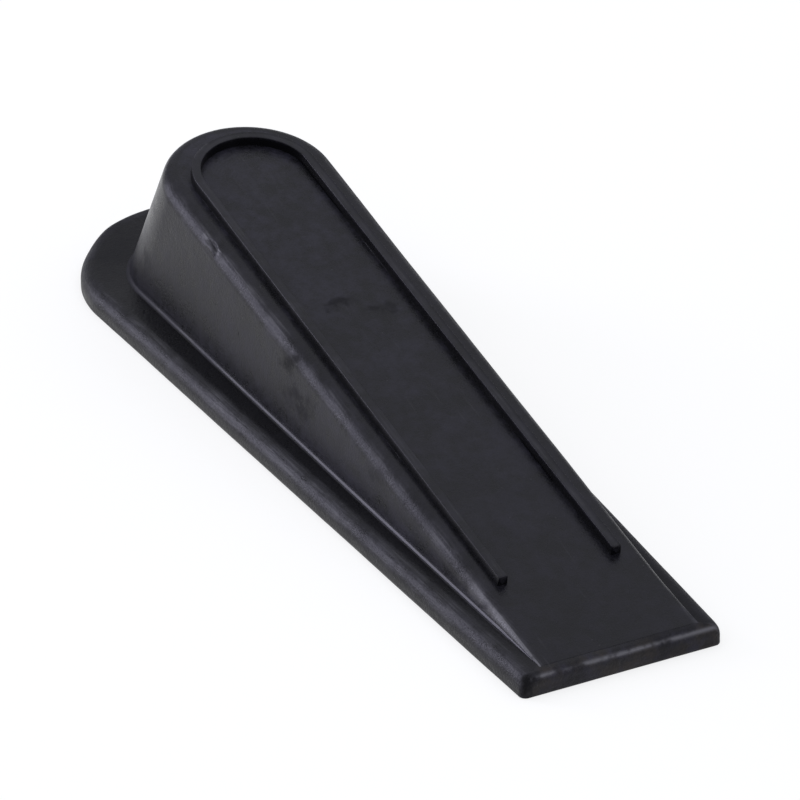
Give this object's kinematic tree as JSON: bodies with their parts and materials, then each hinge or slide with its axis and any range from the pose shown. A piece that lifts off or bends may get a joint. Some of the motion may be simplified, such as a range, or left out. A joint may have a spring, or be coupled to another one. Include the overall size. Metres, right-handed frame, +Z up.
{
  "type": "door stop",
  "caption": "Moulded rubber door wedge: a ramp block with a U-shaped raised rim, on a flat base plate that is round at the heel and thin at the toe.",
  "frame": {"origin": "on the floor, under the middle of the bounding box", "axes": "+X towards the thin toe, +Z up from the floor; the shape is the same on both sides of the XZ plane"},
  "size_m": [0.15, 0.044, 0.0273],
  "materials": {
    "black_rubber": "semi-matte moulded black rubber, lightly scuffed"
  },
  "bodies": {
    "root": {"base_plate": "black_rubber", "ramp_block": "black_rubber", "raised_rim": "black_rubber"}
  },
  "joints": []
}
